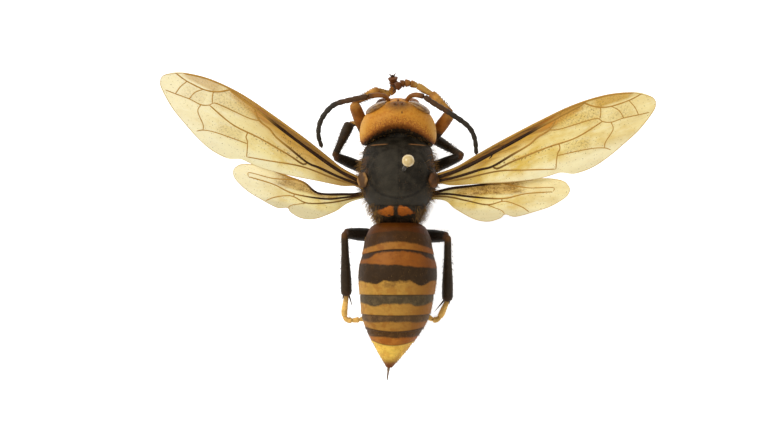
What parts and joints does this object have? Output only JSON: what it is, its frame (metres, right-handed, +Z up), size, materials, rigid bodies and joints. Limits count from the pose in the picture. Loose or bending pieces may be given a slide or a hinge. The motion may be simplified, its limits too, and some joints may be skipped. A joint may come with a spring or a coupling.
{
  "type": "pinned giant hornet specimen",
  "caption": "Dried giant hornet with spread wings, bent legs and banded abdomen, held by an insect pin in a plain block.",
  "frame": {"origin": "centre of the display base's underside, under the middle of the waist", "axes": "+X towards the animal's left, -Y forwards to the head, +Z up"},
  "size_m": [0.0707, 0.0454, 0.0409],
  "materials": {
    "head_cuticle": "satin",
    "eye": "gloss",
    "mouth_cuticle": "satin",
    "antenna": "satin",
    "thorax_cuticle": "satin",
    "tegula": "satin",
    "wing": "translucent",
    "gaster_cuticle": "satin",
    "sting": "gloss",
    "leg_cuticle": "satin",
    "foot_cuticle": "satin",
    "pin_steel": "bright",
    "base_white": "matte"
  },
  "bodies": {
    "root": {"head": "head_cuticle", "clypeus": "head_cuticle", "neck": "thorax_cuticle", "pronotum": "thorax_cuticle", "mesoscutum": "thorax_cuticle", "scutellum": "thorax_cuticle", "propodeum": "thorax_cuticle", "mesopleura": "thorax_cuticle", "eye_left": "eye", "eye_right": "eye", "mandible_left": "mouth_cuticle", "mandible_right": "mouth_cuticle", "antenna_left_scape": "mouth_cuticle", "antenna_right_scape": "mouth_cuticle", "antenna_left_flagellum": "antenna", "antenna_right_flagellum": "antenna", "tegula_left": "tegula", "tegula_right": "tegula", "forewing_left": "wing", "forewing_right": "wing", "hindwing_left": "wing", "hindwing_right": "wing", "gaster_1": "gaster_cuticle", "gaster_2": "gaster_cuticle", "gaster_3": "gaster_cuticle", "gaster_4": "gaster_cuticle", "gaster_5": "gaster_cuticle", "gaster_6": "gaster_cuticle", "sting": "sting", "leg_fore_left_coxa": "leg_cuticle", "leg_fore_left_femur": "leg_cuticle", "leg_fore_left_tibia": "foot_cuticle", "leg_fore_left_tarsus": "foot_cuticle", "leg_fore_right_coxa": "leg_cuticle", "leg_fore_right_femur": "leg_cuticle", "leg_fore_right_tibia": "foot_cuticle", "leg_fore_right_tarsus": "foot_cuticle", "leg_mid_left_coxa": "leg_cuticle", "leg_mid_left_femur": "leg_cuticle", "leg_mid_left_tibia": "leg_cuticle", "leg_mid_left_tarsus": "foot_cuticle", "leg_mid_right_coxa": "leg_cuticle", "leg_mid_right_femur": "leg_cuticle", "leg_mid_right_tibia": "leg_cuticle", "leg_mid_right_tarsus": "foot_cuticle", "leg_hind_left_coxa": "leg_cuticle", "leg_hind_left_femur": "leg_cuticle", "leg_hind_left_tibia": "leg_cuticle", "leg_hind_left_tarsus": "foot_cuticle", "leg_hind_right_coxa": "leg_cuticle", "leg_hind_right_femur": "leg_cuticle", "leg_hind_right_tibia": "leg_cuticle", "leg_hind_right_tarsus": "foot_cuticle", "stand_pin": "pin_steel", "stand_base": "base_white"}
  },
  "joints": []
}
